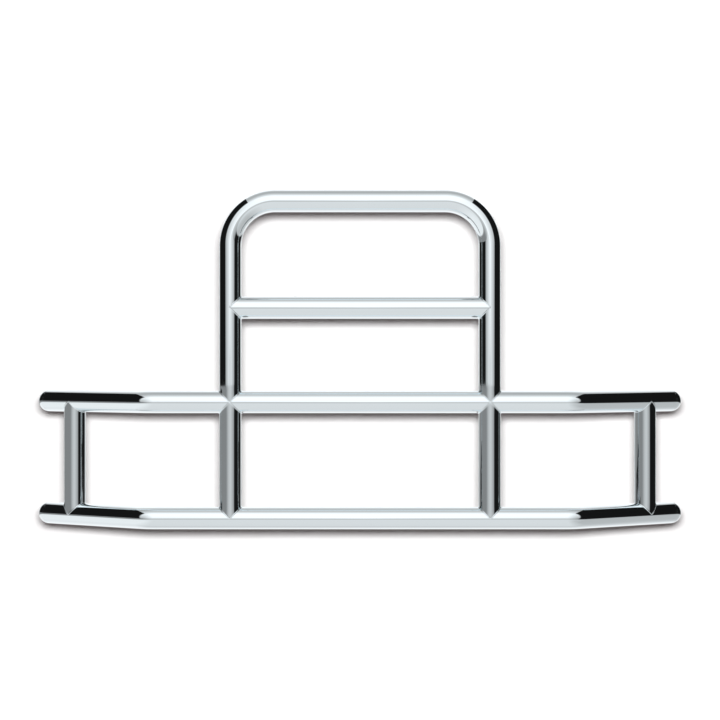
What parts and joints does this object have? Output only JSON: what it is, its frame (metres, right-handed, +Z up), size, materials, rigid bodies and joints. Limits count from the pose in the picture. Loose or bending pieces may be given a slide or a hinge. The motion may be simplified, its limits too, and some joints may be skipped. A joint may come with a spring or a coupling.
{
  "type": "front grille guard",
  "caption": "Polished tube guard for a truck's nose: a hoop and swept bars on brackets that let it tilt forward.",
  "frame": {"origin": "middle of the assembly's bounding box, seen from above, at the level of the lower bar's underside", "axes": "+X to the right seen from the front, along the bars; -Y to the front, away from the truck; +Z up"},
  "size_m": [2.274, 0.3962, 1.1592],
  "materials": {
    "polished_tube": "mirror-polished stainless tube",
    "polished_cap": "polished stainless dome, welded on and ground flush",
    "black_plate": "black powder coat on steel plate, slightly textured",
    "stainless_plate": "brushed stainless plate",
    "bronze_bush": "turned bronze",
    "rubber_pad": "moulded black rubber",
    "zinc_fastener": "zinc-plated steel",
    "lever_steel": "zinc-plated steel, handled",
    "grip_plastic": "black moulded grip"
  },
  "bodies": {
    "frame_brackets": {"bracket_left": "black_plate", "bracket_right": "black_plate", "bushing_left": "bronze_bush", "bushing_right": "bronze_bush", "stop_plate_left": "black_plate", "stop_plate_right": "black_plate", "stop_pad_left": "rubber_pad", "stop_pad_right": "rubber_pad"},
    "guard": {"lower_bar": "polished_tube", "upper_bar": "polished_tube", "hoop": "polished_tube", "hoop_crossbar": "polished_tube", "inner_upright_left": "polished_tube", "inner_upright_right": "polished_tube", "outer_upright_left": "polished_tube", "outer_upright_right": "polished_tube", "end_cap_lower_left": "polished_cap", "end_cap_lower_right": "polished_cap", "end_cap_upper_left": "polished_cap", "end_cap_upper_right": "polished_cap", "ear_left": "stainless_plate", "ear_right": "stainless_plate", "pivot_bolt_left": "zinc_fastener", "pivot_bolt_right": "zinc_fastener", "pivot_nut_left": "zinc_fastener", "pivot_nut_right": "zinc_fastener", "pivot_washers_left": "zinc_fastener", "pivot_washers_right": "zinc_fastener", "clamp_bolt_left": "zinc_fastener", "clamp_bolt_right": "zinc_fastener", "clamp_washer_left": "zinc_fastener", "clamp_washer_right": "zinc_fastener"},
    "clamp_lever_left": {"lever_left": "lever_steel", "lever_grip_left": "grip_plastic"},
    "clamp_lever_right": {"lever_right": "lever_steel", "lever_grip_right": "grip_plastic"}
  },
  "joints": [
    {"name": "guard_tilt", "type": "hinge", "parent": "frame_brackets", "child": "guard", "pos_m": [0, -0.07495, 0.0381], "axis": [1, 0, 0], "range_deg": [0, 90]},
    {"name": "clamp_lever_left_turn", "type": "hinge", "parent": "guard", "child": "clamp_lever_left", "pos_m": [-0.47, 0.03505, 0.0381], "axis": [-1, 0, 0], "range_deg": [0, 70]},
    {"name": "clamp_lever_right_turn", "type": "hinge", "parent": "guard", "child": "clamp_lever_right", "pos_m": [0.47, 0.03505, 0.0381], "axis": [1, 0, 0], "range_deg": [0, 70]}
  ]
}
